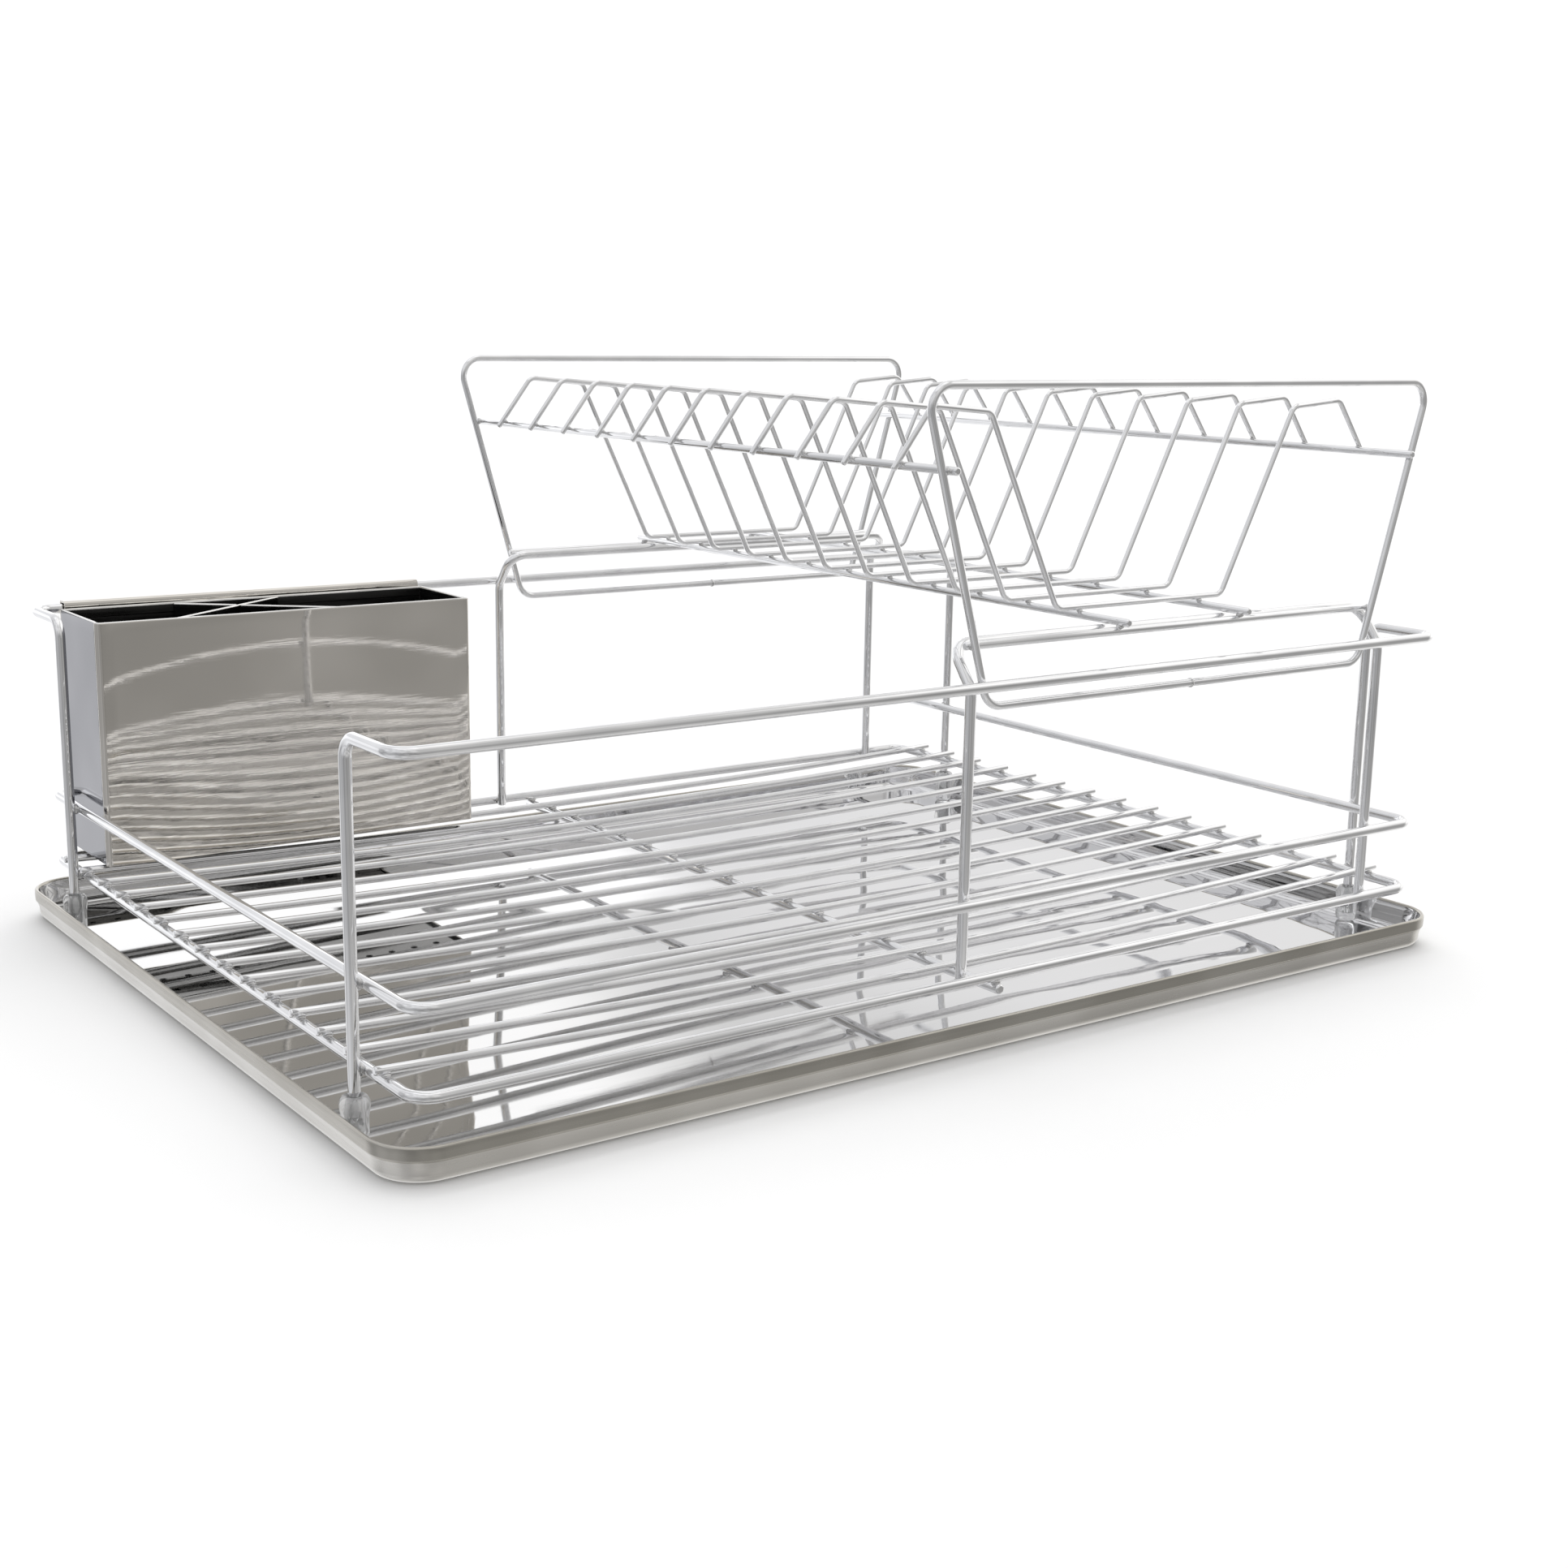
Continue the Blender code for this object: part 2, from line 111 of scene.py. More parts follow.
def spread(tree, value, low, high, out_low, out_high):
    """Map a value from low..high to out_low..out_high, with soft ends."""
    ramp = add_node(tree, "ShaderNodeMapRange", interpolation_type="SMOOTHSTEP")
    for name, number in (("From Min", low), ("From Max", high),
                         ("To Min", out_low), ("To Max", out_high)):
        ramp.inputs[name].default_value = number
    tree.links.new(value, ramp.inputs["Value"])
    return ramp.outputs["Result"]


def blend_colours(tree, factor, dark, light):
    mix = add_node(tree, "ShaderNodeMix", data_type="RGBA")
    colours = [socket for socket in mix.inputs if socket.type == "RGBA"]
    colours[0].default_value = (*dark, 1.0)
    colours[1].default_value = (*light, 1.0)
    tree.links.new(factor, mix.inputs[0])
    return [socket for socket in mix.outputs if socket.type == "RGBA"][0]


def bumps(tree, layers):
    """Chain of bump nodes: (height, strength, distance) each."""
    normal = None
    for height, strength, distance in layers:
        bump = add_node(tree, "ShaderNodeBump")
        bump.inputs["Strength"].default_value = strength
        bump.inputs["Distance"].default_value = distance
        tree.links.new(height, bump.inputs["Height"])
        if normal is not None:
            tree.links.new(normal, bump.inputs["Normal"])
        normal = bump.outputs["Normal"]
    return normal


def metal(name, dark, light, rough, grain, stretch, patches, layers, calm_and_shade=None):
    """A polished or brushed metal.

    rough is the low and high roughness, grain and stretch the brush marks' noise, patches the
    scale of the slow colour change, and layers the bumps as (scale, stretch, strength, depth).
    Between the two X of the last argument the first bump grows and the colour goes from dark to
    light; the dark low X side is painted shade.
    """
    shade = bpy.data.materials.new(name)
    shade.use_nodes = True
    tree = shade.node_tree
    shader = tree.nodes["Principled BSDF"]
    shader.inputs["Metallic"].default_value = 1.0
    marks = stretched_noise(tree, grain, stretch)
    tree.links.new(spread(tree, marks, 0.3, 0.7, *rough), shader.inputs["Roughness"])
    cloud = stretched_noise(tree, patches, EVEN, detail=2.0)
    tone = spread(tree, cloud, 0.35, 0.65, 0.0, 1.0)
    heights = [(stretched_noise(tree, scale, along), strength, depth)
               for scale, along, strength, depth in layers]
    if calm_and_shade:
        coords = add_node(tree, "ShaderNodeTexCoord")
        axes = add_node(tree, "ShaderNodeSeparateXYZ")
        tree.links.new(coords.outputs["Object"], axes.inputs[0])
        across = spread(tree, axes.outputs["X"], *calm_and_shade, 0.06, 1.0)
        height, strength, depth = heights[0]
        fade = add_node(tree, "ShaderNodeMath", operation="MULTIPLY")
        tree.links.new(height, fade.inputs[0])
        tree.links.new(across, fade.inputs[1])
        heights[0] = (fade.outputs["Value"], strength, depth)
        # Painted shade: the colour darkens towards low X across the piece.
        blend = add_node(tree, "ShaderNodeMix", data_type="FLOAT")
        blend.inputs[0].default_value = PAINTED_SHADE_SHARE
        tree.links.new(tone, blend.inputs[2])
        tree.links.new(across, blend.inputs[3])
        tone = blend.outputs[0]
    tree.links.new(blend_colours(tree, tone, dark, light), shader.inputs["Base Color"])
    tree.links.new(bumps(tree, heights), shader.inputs["Normal"])
    return shade


def clear_plastic(name):
    shade = bpy.data.materials.new(name)
    shade.use_nodes = True
    tree = shade.node_tree
    shader = tree.nodes["Principled BSDF"]
    shader.inputs["Transmission Weight"].default_value = 0.80
    shader.inputs["IOR"].default_value = 1.46
    cloud = stretched_noise(tree, 260, EVEN)
    tree.links.new(spread(tree, cloud, 0.3, 0.7, 0.04, 0.10), shader.inputs["Roughness"])
    tone = spread(tree, stretched_noise(tree, 90, EVEN), 0.3, 0.7, 0.0, 1.0)
    tree.links.new(blend_colours(tree, tone, (0.93, 0.94, 0.94), (1.0, 1.0, 1.0)),
                   shader.inputs["Base Color"])
    tree.links.new(bumps(tree, [(stretched_noise(tree, 420, EVEN), 0.12, 0.0002)]),
                   shader.inputs["Normal"])
    return shade


CHROME = metal("chromed_wire", (0.81, 0.812, 0.82), (0.88, 0.88, 0.885), (0.02, 0.06), 120, EVEN,
               40, [(700, EVEN, 0.03, 0.0001), (60, EVEN, 0.02, 0.0003)])
WELD = metal("welded_chrome", (0.52, 0.515, 0.51), (0.78, 0.78, 0.78), (0.14, 0.32), 500, EVEN,
             300, [(900, EVEN, 0.25, 0.0002)])
# The tray's inside is painted darker towards its left, low X, end: painted shade.
TRAY_IN = metal("tray_polished", (0.57, 0.567, 0.56), (0.82, 0.818, 0.825), (0.015, 0.04), 300,
                (0.15, 1, 1), 9, [(6, (1, 1.5, 1), 0.9, 0.0006), (500, (0.1, 1, 1), 0.01, 0.0001)],
                (-0.13, 0.08))
TRAY_OUT = metal("tray_satin", (0.58, 0.562, 0.525), (0.66, 0.642, 0.605), (0.22, 0.28), 900,
                 (0.05, 0.05, 1), 22, [(1100, (0.04, 0.04, 1), 0.03, 0.0001)])
# A darker copy of the outside metal for the folded rim's hem: painted shade.
TRAY_HEM_PAINTED_SHADE = metal("tray_hem_painted_shade", (0.46, 0.44, 0.395), (0.53, 0.51, 0.465), (0.20, 0.28), 900,
                 (0.05, 0.05, 1), 22, [(1100, (0.04, 0.04, 1), 0.03, 0.0001)])
BOX_OUT = metal("box_polished", (0.64, 0.613, 0.568), (0.76, 0.73, 0.68), (0.015, 0.04), 420,
                (0.06, 0.06, 1), 14, [(26, (0.5, 0.5, 1.6), 0.02, 0.0004),
                                      (600, (0.08, 0.08, 1), 0.05, 0.0001)])
# A darker copy of the box's metal for its left face: painted shade.
BOX_SIDE_PAINTED_SHADE = metal("box_side_painted_shade", (0.29, 0.292, 0.31), (0.35, 0.352, 0.37), (0.03, 0.07), 420,
                 (0.06, 0.06, 1), 14, [(600, (0.08, 0.08, 1), 0.04, 0.0001)])
# A dark copy of the box's steel for its floor: painted shade.
BOX_FLOOR_PAINTED_SHADE = metal("box_floor", (0.22, 0.215, 0.205), (0.30, 0.295, 0.285), (0.03, 0.07), 420,
                  (0.06, 0.06, 1), 14, [(600, (0.08, 0.08, 1), 0.04, 0.0001)])
# A lighter copy of the box's metal for the rolled top edges: painted highlight.
BOX_EDGE_PAINTED_HIGHLIGHT = metal("box_edge_painted_highlight", (0.80, 0.79, 0.77), (0.90, 0.89, 0.87), (0.16, 0.26), 420,
                 EVEN, 60, [(600, EVEN, 0.05, 0.0001)])
# Nearly black steel for the box's inner walls and partitions: painted shade.
BOX_IN_PAINTED_SHADE = metal("box_inside_painted_shade", (0.06, 0.059, 0.058), (0.10, 0.098, 0.095), (0.24, 0.40), 420,
               (0.06, 0.06, 1), 14, [(600, (0.08, 0.08, 1), 0.10, 0.0001)])
PLASTIC = clear_plastic("clear_plastic")

# ---------------------------------------------------------------- wires


def bend(corners, radius, closed=False, steps=12):
    """Round each corner of a wire's route with an arc of the given radius."""
    corners = [Vector(corner) for corner in corners]
    count = len(corners)
    route = []
    for index, corner in enumerate(corners):
        if not closed and index in (0, count - 1):
            route.append(corner)
            continue
        to_last = (corners[index - 1] - corner).normalized()
        to_next = (corners[(index + 1) % count] - corner).normalized()
        half = to_last.angle(to_next) / 2
        centre = corner + (to_last + to_next).normalized() * (radius / math.sin(half))
        start = (corner + to_last * (radius / math.tan(half)) - centre).normalized()
        end = (corner + to_next * (radius / math.tan(half)) - centre).normalized()
        for step in range(steps + 1):
            route.append(centre + start.slerp(end, step / steps).normalized() * radius)
    return route


def chamfered(route, radius):
    """Route and thickness factors of a wire whose cut ends are slightly rounded off."""
    lead = 0.45 * radius
    first = (route[1] - route[0]).normalized()
    last = (route[-2] - route[-1]).normalized()
    points = [route[0], route[0] + first * lead * 0.3, route[0] + first * lead]
    points += route[1:-1]
    points += [route[-1] + last * lead, route[-1] + last * lead * 0.3, route[-1]]
    factors = [0.62, 0.88, 1.0] + [1.0] * (len(route) - 2) + [1.0, 0.88, 0.62]
    return points, factors


def wire(node, route, radius, body, closed=False):
    """A fine round wire that stands for the CAD wire of the same name."""
    route = [Vector(place) for place in route]
    factors = [1.0] * len(route)
    if not closed:
        route, factors = chamfered(route, radius)
    curve = bpy.data.curves.new("fine_" + node, "CURVE")
    curve.dimensions = "3D"
    curve.bevel_depth = radius
    curve.bevel_resolution = 6 if radius > COMB_R else 4
    curve.use_fill_caps = not closed
    spline = curve.splines.new("POLY")
    spline.points.add(len(route) - 1)
    for point, place, factor in zip(spline.points, route, factors):
        point.co = (*place, 1.0)
        point.radius = factor
    spline.use_cyclic_u = closed
    piece = bpy.data.objects.new("fine_" + node, curve)
    bpy.context.scene.collection.objects.link(piece)
    curve.materials.append(CHROME)
    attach(piece, body)
    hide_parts(node)


def rectangle(half_x, half_y, z):
    return [(half_x, half_y, z), (-half_x, half_y, z), (-half_x, -half_y, z), (half_x, -half_y, z)]


def loops():
    for node in ("lower_loop", "middle_loop"):
        low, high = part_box(node)
        corners = rectangle(high.x - HEAVY_R, high.y - HEAVY_R, (low.z + high.z) / 2)
        wire(node, bend(corners, LOOP_CORNER, closed=True), HEAVY_R, "basket", closed=True)


def up_and_down(legs):
    """One route up the left leg and down the right one."""
    return legs[0] + list(reversed(legs[1]))


def post_wires():
    for node, sign in (("front_top_rail", -1), ("rear_top_rail", 1)):
        low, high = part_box(node)
        post_x = high.x - HEAVY_R
        rail_y = sign * (max(abs(low.y), abs(high.y)) - HEAVY_R)
        post_y = sign * (min(abs(low.y), abs(high.y)) + HEAVY_R)
        top = high.z - HEAVY_R
        legs = [[(side * post_x, post_y, low.z), (side * post_x, post_y, top),
                 (side * post_x, rail_y, top)] for side in (-1, 1)]
        wire(node, bend(up_and_down(legs), POST_BEND), HEAVY_R, "basket")


def arches():
    for node, sign in (("front_arch", -1), ("rear_arch", 1)):
        low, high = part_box(node)
        bar_y = sign * (min(abs(low.y), abs(high.y)) + HEAVY_R)
        leg_y = sign * ARCH_LEG_Y
        legs = [[(x, leg_y, low.z), (x, leg_y, ARCH_SHOULDER_Z), (x, bar_y, high.z - HEAVY_R)]
                for x in (low.x + HEAVY_R, high.x - HEAVY_R)]
        wire(node, bend(up_and_down(legs), ARCH_BEND), HEAVY_R, "basket")


def floor_names():
    return sorted(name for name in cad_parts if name.startswith("floor_wire_"))


def floor_wires():
    low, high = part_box("cross_wire")
    z = (low.z + high.z) / 2
    wire("cross_wire", [(0, low.y, z), (0, -0.08, z), (0, 0.08, z), (0, high.y, z)],
         HEAVY_R, "basket")
    spans = 24
    for node in floor_names():
        low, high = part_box(node)
        bottom, ends = low.z + LIGHT_R, high.z - LIGHT_R
        route = []
        for step in range(spans + 1):
            share = 2 * step / spans - 1
            route.append((high.x * share, (low.y + high.y) / 2,
                          bottom + (ends - bottom) * share * share))
        wire(node, route, LIGHT_R, "basket")


def rack_wires():
    centre_x = middle("rack_loop_front").x
    for end in ("front", "rear"):
        node = "rack_loop_" + end
        low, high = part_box(node)
        y = (low.y + high.y) / 2
        bottom, top = low.z + LIGHT_R, high.z - LIGHT_R
        corners = [(centre_x - RACK_LOW_HALF, y, bottom), (centre_x - RACK_TOP_HALF, y, top),
                   (centre_x + RACK_TOP_HALF, y, top), (centre_x + RACK_LOW_HALF, y, bottom)]
        wire(node, bend(corners, RACK_BEND, closed=True), LIGHT_R, "plate_rack", closed=True)
        node = "rack_crossbar_" + end
        low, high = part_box(node)
        y, z = (low.y + high.y) / 2, (low.z + high.z) / 2
        wire(node, [(low.x, y, z), (centre_x, y, z), (high.x, y, z)], LIGHT_R, "plate_rack")
    for side in ("left", "right"):
        for rail in ("low_rail", "side_rail"):
            node = f"rack_{rail}_{side}"
            low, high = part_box(node)
            x, z = (low.x + high.x) / 2, (low.z + high.z) / 2
            wire(node, [(x, low.y, z), (x, 0, z), (x, high.y, z)], LIGHT_R, "plate_rack")
    for node in comb_names():
        y = middle(node).y
        corners = [(centre_x - x, y, z) for x, z in COMB_CORNERS]
        corners += [(centre_x + x, y, z) for x, z in reversed(COMB_CORNERS)]
        wire(node, bend(corners, COMB_BEND, steps=8), COMB_R, "plate_rack")


def comb_names():
    return sorted(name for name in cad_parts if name.startswith("plate_divider_"))


# ---------------------------------------------------------------- welds


def new_piece(name, mesh, materials, body, nodes=()):
    """Turn a bmesh into a riding piece."""
    data = bpy.data.meshes.new(name)
    mesh.to_mesh(data)
    mesh.free()
    for shade in materials:
        data.materials.append(shade)
    piece = bpy.data.objects.new(name, data)
    bpy.context.scene.collection.objects.link(piece)
    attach(piece, body)
    if nodes:
        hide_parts(*nodes)
    return piece


def bead(mesh, place, radii):
    """A lens of fused metal between two wires."""
    matrix = Matrix.Translation(place) @ Matrix.Diagonal((*radii, 1.0))
    made = bmesh.ops.create_uvsphere(mesh, u_segments=14, v_segments=8, radius=1.0, matrix=matrix)
    for vertex in made["verts"]:
        for face in vertex.link_faces:
            face.smooth = True


def basket_welds():
    mesh = bmesh.new()
    loop_low, loop_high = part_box("lower_loop")
    rail_x, rail_y = loop_high.x - HEAVY_R, loop_high.y - HEAVY_R
    rail_top, rail_z = loop_high.z, (loop_low.z + loop_high.z) / 2
    cross_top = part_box("cross_wire")[1].z
    for node in floor_names():
        y = middle(node).y
        for x in (-rail_x, rail_x):
            bead(mesh, (x, y, rail_top), (0.0017, 0.0017, 0.0009))
        bead(mesh, (0, y, cross_top), (0.0021, 0.0018, 0.0010))
    for sign in (-1, 1):
        bead(mesh, (0, sign * rail_y, loop_low.z), (0.0022, 0.0019, 0.0011))
    post_y = abs(middle("foot_cap_front_left").y)
    for node in ("lower_loop", "middle_loop"):
        z = middle(node).z
        for side in (-1, 1):
            for sign in (-1, 1):
                bead(mesh, (side * (rail_x + HEAVY_R), sign * post_y, z), (0.0011, 0.0019, 0.0022))
    for node, sign in (("front_arch", -1), ("rear_arch", 1)):
        low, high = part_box(node)
        for x in (low.x + HEAVY_R, high.x - HEAVY_R):
            for z in (rail_z, middle("middle_loop").z):
                bead(mesh, (x, sign * (rail_y - HEAVY_R), z), (0.0020, 0.0011, 0.0020))
    new_piece("basket_welds", mesh, [WELD], "basket")


def rack_welds():
    mesh = bmesh.new()
    centre_x = middle("rack_loop_front").x
    bead_size = (0.0012, 0.0012, 0.0007)
    for node in comb_names():
        y = middle(node).y
        for side in ("left", "right"):
            rail_low, rail_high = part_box(f"rack_low_rail_{side}")
            bead(mesh, ((rail_low.x + rail_high.x) / 2, y, rail_high.z), bead_size)
    for side, sign in (("left", -1), ("right", 1)):
        rail = middle(f"rack_side_rail_{side}")
        for node in comb_names():
            bead(mesh, (rail.x + sign * 0.0013, middle(node).y, rail.z + 0.0010),
                 (0.0009, 0.0012, 0.0009))
        for end in ("front", "rear"):
            loop_y = middle(f"rack_loop_{end}").y
            bead(mesh, (rail.x + sign * LIGHT_R, loop_y, rail.z), (0.0009, 0.0015, 0.0015))
            low_rail = middle(f"rack_low_rail_{side}")
            bar = middle(f"rack_crossbar_{end}")
            bead(mesh, (low_rail.x, bar.y, (low_rail.z + bar.z) / 2), (0.0015, 0.0015, 0.0009))
            height = (bar.z - RACK_LOW_Z) / (RACK_TOP_Z - RACK_LOW_Z)
            loop_x = RACK_LOW_HALF + (RACK_TOP_HALF - RACK_LOW_HALF) * height
            bead(mesh, (centre_x + sign * loop_x, (loop_y + bar.y) / 2, bar.z),
                 (0.0015, 0.0009, 0.0015))
    # The swelling where each loop's two ends are joined.
    for end, shift in (("front", 0.003), ("rear", 0.010)):
        low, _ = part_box(f"rack_loop_{end}")
        bead(mesh, (centre_x + shift, middle(f"rack_loop_{end}").y, low.z + LIGHT_R),
             (0.0014, 0.00185, 0.00185))
    new_piece("rack_welds", mesh, [WELD], "plate_rack")


# ---------------------------------------------------------------- tray


def rounded_ring(half_x, half_y, radius, steps, spans=1):
    """A rounded rectangle as (position, outward direction) pairs, straight sides split in spans."""
    ring = []
    quarters = ((1, 1), (-1, 1), (-1, -1), (1, -1))
    for quarter, (sign_x, sign_y) in enumerate(quarters):
        centre = Vector((sign_x * (half_x - radius), sign_y * (half_y - radius), 0))
        for step in range(steps + 1):
            angle = (quarter + step / steps) * math.pi / 2
            out = Vector((math.cos(angle), math.sin(angle), 0))
            ring.append((centre + out * radius, out))
        after = quarters[(quarter + 1) % 4]
        centre = Vector((after[0] * (half_x - radius), after[1] * (half_y - radius), 0))
        target = centre + out * radius
        start = ring[-1][0]
        for step in range(1, spans):
            ring.append((start.lerp(target, step / spans), out))
    return ring


def loft(mesh, ring, profile, closed=False, shape=None):
    """Sweep (offset, height, material) rows round a ring and return the rows of vertices."""
    rows = []
    for offset, height, _ in profile:
        row = []
        for place, out in ring:
            spot = place + out * offset + Vector((0, 0, height))
            row.append(mesh.verts.new(shape(spot, out) if shape else spot))
        rows.append(row)
    pairs = list(zip(rows, rows[1:], profile))
    if closed:
        pairs.append((rows[-1], rows[0], profile[-1]))
    for lower, upper, (_, _, shade) in pairs:
        for index in range(len(ring)):
            after = (index + 1) % len(ring)
            face = mesh.faces.new((lower[index], lower[after], upper[after], upper[index]))
            face.material_index = shade
            face.smooth = True
    return rows


def arc(centre, radius, start, end, steps, shade):
    """Profile points on an arc; angles in degrees, measured from outwards to upwards."""
    points = []
    for step in range(steps + 1):
        angle = math.radians(start + (end - start) * step / steps)
        points.append((centre[0] + radius * math.cos(angle),
                       centre[1] + radius * math.sin(angle), shade))
    return points


def tray():
    """Pressed pan: polished inside, satin outside, with its rim folded outwards and down; the hem
    is darkened with painted shade.
    """
    _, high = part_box("drip_tray")
    # The hem's material is painted shade.
    inside, outside, hem = 0, 1, 2
    top = high.z
    fold = 0.00085
    fillet = 0.0035
    profile = arc((-0.0062, SHEET + fillet), fillet, -90, -15, 10, inside)
    profile += [(-0.0027, 0.0070, inside), (-0.0018, top - 0.0016, inside)]
    profile += arc((-fold, top - fold), fold, 180, 0, 12, hem)
    profile += [(0.0, top - 0.0022, hem), (-0.0001, top - 0.0041, hem)]
    profile += arc((-0.0006, top - 0.0043), 0.0005, 0, -90, 4, hem)
    profile += [(-0.00070, top - 0.0052, outside), (-0.00145, 0.0052, outside)]
    profile += arc((-0.0049, 0.0033), 0.0033, -5, -90, 10, outside)
    mesh = bmesh.new()
    ring = rounded_ring(high.x, high.y, TRAY_CORNER, 20, spans=8)
    rows = loft(mesh, ring, profile)
    floor_face = mesh.faces.new(rows[0])
    floor_face.material_index = inside
    under = mesh.faces.new(list(reversed(rows[-1])))
    under.material_index = outside
    bmesh.ops.recalc_face_normals(mesh, faces=mesh.faces)
    piece = new_piece("pressed_tray", mesh, [TRAY_IN, TRAY_OUT, TRAY_HEM_PAINTED_SHADE], "tray",
                      ["drip_tray"])
    piece.data.set_sharp_from_angle(angle=math.radians(40))


# ---------------------------------------------------------------- foot caps

CAP_SWELL = 0.0002
CAP_FIT = 0.00005


def caps():
    """Clear push-on caps: a barrel with a domed mouth round the end of each post."""
    for node in ("foot_cap_front_left", "foot_cap_front_right",
                 "foot_cap_rear_left", "foot_cap_rear_right"):
        low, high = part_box(node)
        centre = middle(node)
        radius = (high.x - low.x) / 2 + CAP_SWELL
        height = high.z - low.z
        bore = HEAVY_R + CAP_FIT
        outer = [(0.0, 0.0), (radius - 0.0016, 0.0), (radius - 0.0008, 0.0003),
                 (radius - 0.0002, 0.0012), (radius, 0.0028), (radius, 0.0080),
                 (radius + 0.0003, 0.0098), (radius + 0.0005, 0.0112),
                 (radius + 0.0005, 0.0126), (radius + 0.0002, 0.0138),
                 (radius - 0.0005, height - 0.0003), (radius - 0.0014, height)]
        inner = [(bore + 0.0002, height - 0.0002), (bore, height - 0.0008), (bore, 0.0036),
                 (0.0, 0.0034)]
        mesh = bmesh.new()
        chain = [mesh.verts.new((r, 0.0, z)) for r, z in outer + inner]
        edges = [mesh.edges.new(pair) for pair in zip(chain, chain[1:])]
        bmesh.ops.spin(mesh, geom=chain + edges, cent=(0, 0, 0), axis=(0, 0, 1),
                       angle=math.tau, steps=32, use_merge=True)
        bmesh.ops.remove_doubles(mesh, verts=mesh.verts, dist=0.000001)
        bmesh.ops.recalc_face_normals(mesh, faces=mesh.faces)
        for face in mesh.faces:
            face.smooth = True
        bmesh.ops.translate(mesh, verts=mesh.verts, vec=(centre.x, centre.y, low.z))
        new_piece("clear_" + node, mesh, [PLASTIC], "basket", [node])


# ---------------------------------------------------------------- cutlery box

BOX_CORNER = 0.0015
DISH_DEPTH = 0.0011
# The lap at the front left corner: how far it stands out, and where its middle and the dark
# line behind it lie, measured from the front. The dark line is painted shade.
SEAM_RISE = 0.0004
SEAM_AT = 0.0030
SEAM_WIDTH = 0.0011
SEAM_LINE = 0.0047
SEAM_LINE_HALF = 0.0003


def box_body():
    """Four walls with a folded top edge, a lapped corner seam and a hook over the rear rail."""
    low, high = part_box("cutlery_box_body")
    left, right, front = low.x, high.x, low.y
    back = 2 * middle("cutlery_box_floor").y - front
    foot, top = low.z, BOX_TOP_Z
    outside, inside, edge, side = range(4)
    centre = Vector(((left + right) / 2, (front + back) / 2, 0))
    half_x, half_y = (right - left) / 2, (back - front) / 2
    levels = 22
    profile = [(0.0, foot + (top - 0.0008 - foot) * step / levels, outside)
               for step in range(levels + 1)]
    # The rolled top edge takes the lighter edge metal: painted highlight.
    profile += arc((-0.0006, top - 0.0006), 0.0006, 20, 160, 6, edge)
    profile += [(-0.0012, top - 0.0009, inside), (-0.0012, top - 0.0040, inside)]
    profile += [(-SHEET, top - 0.0044 - (top - 0.0044 - foot) * step / levels, inside)
                for step in range(levels)]
    profile += [(-SHEET, foot, outside)]

    def sheet_form(spot, out):
        """The front's slight dish, and the raised lap at the front left corner."""
        across = max(0.0, 1 - (spot.x / half_x) ** 2)
        up = min(max((spot.z - foot) / (top - foot), 0.0), 1.0)
        dish = seam = 0.0
        if out.y < -0.9:
            dish = DISH_DEPTH * across * math.sin(math.pi * up) * (1.25 - 0.6 * up)
        if out.x < -0.9:
            seam = SEAM_RISE * math.exp(-((spot.y + half_y - SEAM_AT) / SEAM_WIDTH) ** 2)
        return spot + out * (seam - dish) + centre

    ring = box_ring(half_x, half_y)
    mesh = bmesh.new()
    loft(mesh, ring, profile, closed=True, shape=sheet_form)
    for face in mesh.faces:
        spot = face.calc_center_median()
        if spot.x < left + SHEET / 2 and face.material_index == outside:
            # Painted shade: the seam's dark line takes the dark inside metal.
            if abs(spot.y - front - SEAM_LINE) < SEAM_LINE_HALF:
                face.material_index = inside
            # Painted shade: the left face beyond the seam takes the darker side metal.
            elif spot.y > front + SEAM_LINE + SEAM_LINE_HALF:
                face.material_index = side
    hook_sheet(mesh, left, right, back, high)
    bmesh.ops.recalc_face_normals(mesh, faces=mesh.faces)
    piece = new_piece("box_shell", mesh, [BOX_OUT, BOX_IN_PAINTED_SHADE, BOX_EDGE_PAINTED_HIGHLIGHT, BOX_SIDE_PAINTED_SHADE], "cutlery_box",
                      ["cutlery_box_body"])
    piece.data.set_sharp_from_angle(angle=math.radians(40))


def box_ring(half_x, half_y):
    """Plan of the box's walls, close-set near the lapped corner seam."""
    ring = rounded_ring(half_x, half_y, BOX_CORNER, 6, spans=30)
    fine = []
    for (place, out), (ahead, _) in zip(ring, ring[1:] + ring[:1]):
        fine.append((place, out))
        if out.x < -0.99 and place.y < -half_y + 0.008 and (ahead - place).length > 0.0008:
            fine += [(place.lerp(ahead, step / 5), out) for step in range(1, 5)]
    return fine


def hook_sheet(mesh, left, right, back, high):
    """The strip that runs on from the back wall, over the rear rail and down behind it."""
    bend_r = 0.0016
    near = (back - SHEET + bend_r, high.z - bend_r)
    beyond = (high.y - bend_r, high.z - bend_r)
    outline = [(back - SHEET, HOOK_ROOT_Z, 0)]
    outline += arc(near, bend_r, 180, 90, 6, 0) + arc(beyond, bend_r, 90, 0, 6, 0)
    outline += [(high.y, HOOK_LIP_Z, 0), (high.y - SHEET, HOOK_LIP_Z, 0)]
    outline += arc(beyond, bend_r - SHEET, 0, 90, 6, 0) + arc(near, bend_r - SHEET, 90, 180, 6, 0)
    outline += [(back, HOOK_ROOT_Z, 0)]
    prism(mesh, *([mesh.verts.new((x, y, z)) for y, z, _ in outline]
                  for x in (left + HOOK_INSET, right - HOOK_INSET)))


def prism(mesh, first, last):
    """Join two outlines of vertices, close both ends, and return the faces along the sides."""
    sides = []
    for index in range(len(first)):
        after = (index + 1) % len(first)
        face = mesh.faces.new((first[index], first[after], last[after], last[index]))
        face.smooth = True
        sides.append(face)
    mesh.faces.new(first)
    mesh.faces.new(list(reversed(last)))
    return sides


SLOT_HALF = 0.0011
ROLL_R = 0.00055


